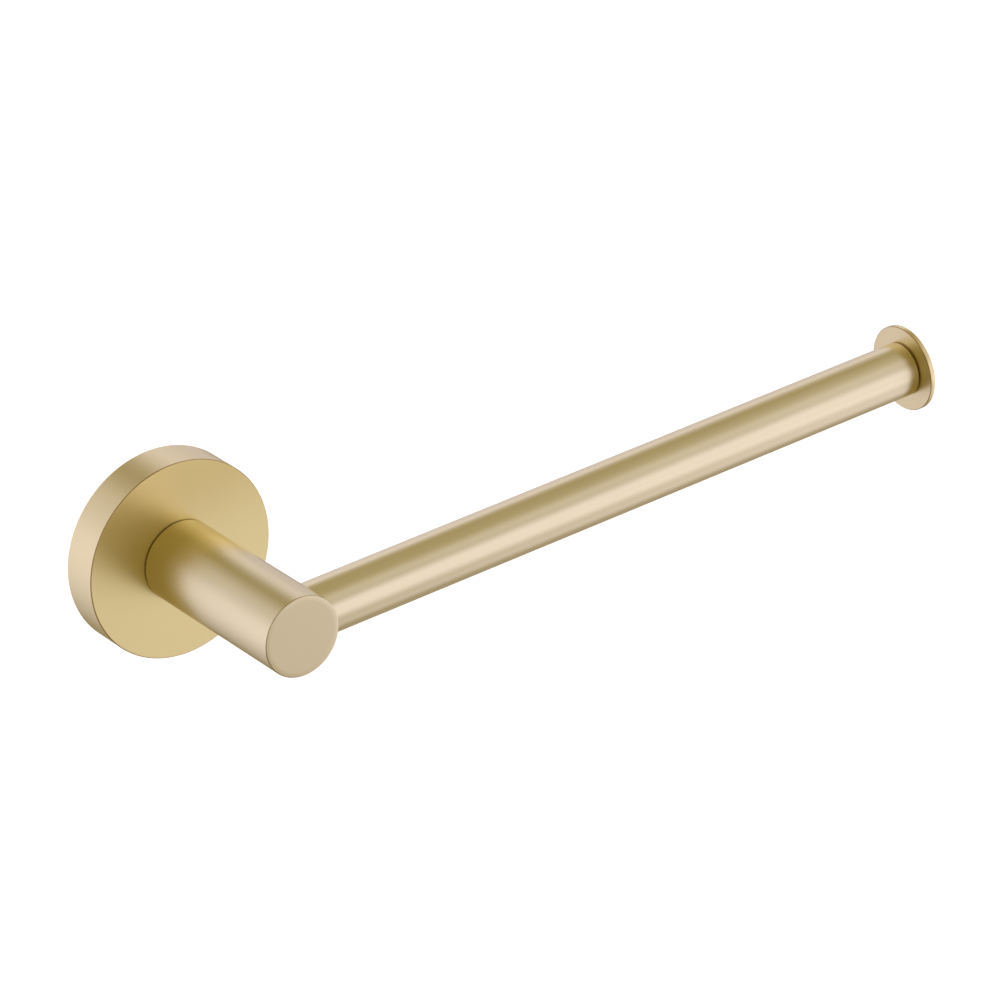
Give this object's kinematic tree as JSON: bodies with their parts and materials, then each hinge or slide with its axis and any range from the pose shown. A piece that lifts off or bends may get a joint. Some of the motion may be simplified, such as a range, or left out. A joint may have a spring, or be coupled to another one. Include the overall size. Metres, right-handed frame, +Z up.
{
  "type": "toilet paper holder",
  "caption": "Wall-mounted toilet paper holder: round cover on a concealed bracket, tubular post, and a long straight side arm ending in a thin retaining disc.",
  "frame": {"origin": "centre of the wall bracket's back face, on the wall's surface", "axes": "+Y into the wall, so the post stands out along -Y; +X along the arm; +Z up"},
  "size_m": [0.2344, 0.0687, 0.055],
  "materials": {
    "brushed_gold": "satin brushed champagne-gold coating",
    "raw_brass": "turned, uncoated",
    "stainless": "plain stainless, lightly brushed",
    "black_nylon": "matt moulded nylon"
  },
  "bodies": {
    "wall_mount": {"wall_bracket": "stainless"},
    "holder": {"cover_flange": "brushed_gold", "mounting_hub": "raw_brass", "post_fixing_screw": "stainless", "post_lock_washer": "stainless", "post_flat_washer": "stainless", "locating_pin": "stainless", "post_seat_washer": "black_nylon", "post_root_plug": "raw_brass", "post_tube": "brushed_gold", "post_nose_plug": "brushed_gold", "arm_stud": "stainless", "arm_root_plug": "raw_brass", "arm_tube": "brushed_gold", "arm_tip_plug": "raw_brass", "end_disc": "brushed_gold"},
    "set_screw": {"set_screw": "stainless"}
  },
  "joints": [
    {"name": "holder_pull_off", "type": "slide", "parent": "wall_mount", "child": "holder", "axis": [0, -1, 0], "range_m": [0, 0.02]},
    {"name": "set_screw_travel", "type": "slide", "parent": "holder", "child": "set_screw", "axis": [0, 0, -1], "range_m": [0, 0.003]}
  ]
}
